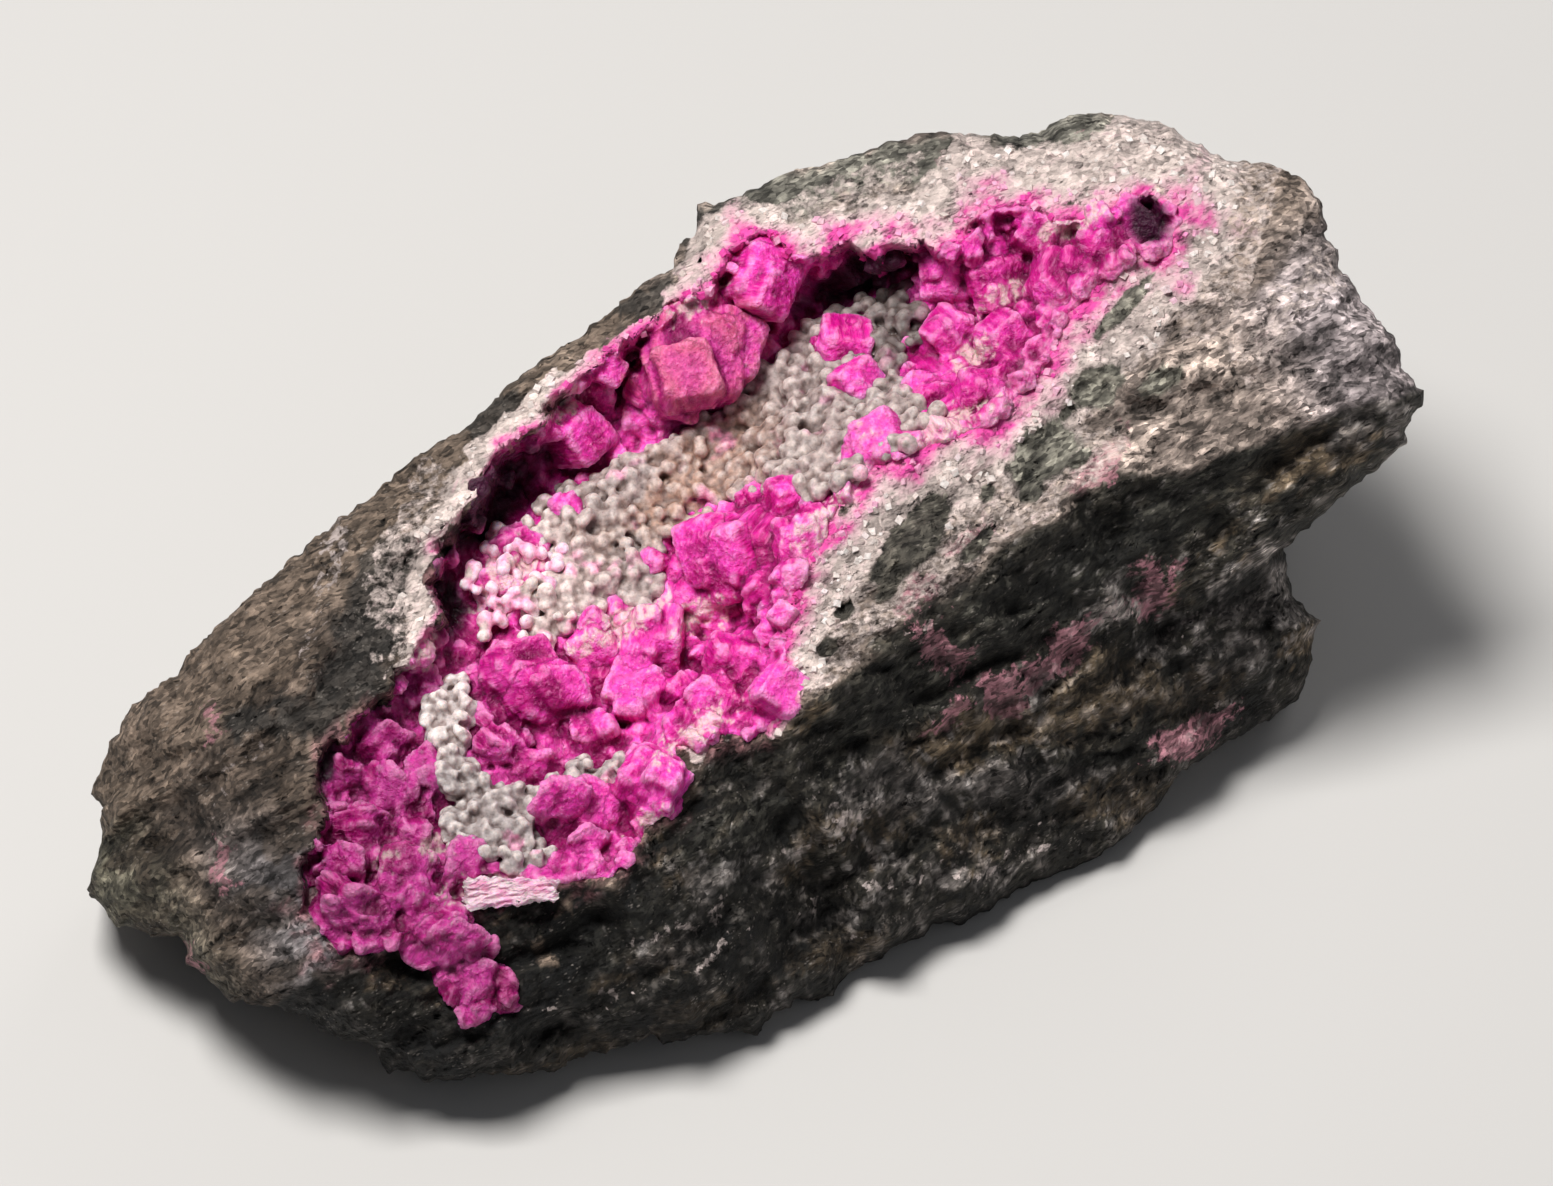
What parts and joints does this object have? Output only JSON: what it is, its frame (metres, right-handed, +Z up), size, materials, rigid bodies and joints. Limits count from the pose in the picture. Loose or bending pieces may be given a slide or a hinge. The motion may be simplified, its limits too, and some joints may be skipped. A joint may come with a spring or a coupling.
{
  "type": "cobaltoan calcite specimen",
  "caption": "Loose block of dark host rock with a long open hollow lined by intergrown pink calcite crystals and patches of pale globules.",
  "frame": {"origin": "centre of the bounding box's footprint, on the flat the stone rests on", "axes": "+X along the specimen's length towards the thick blunt end, +Y towards the back that the picture doesn't show, +Z up; the hollow opens up and towards -Y"},
  "size_m": [0.1212, 0.0542, 0.0482],
  "materials": {
    "host_rock": "matte",
    "pink_calcite": "satin",
    "pale_globules": "satin"
  },
  "bodies": {
    "root": {"host_rock": "host_rock", "pink_calcite_crust": "pink_calcite", "upper_globules": "pale_globules", "lower_globules": "pale_globules"}
  },
  "joints": []
}
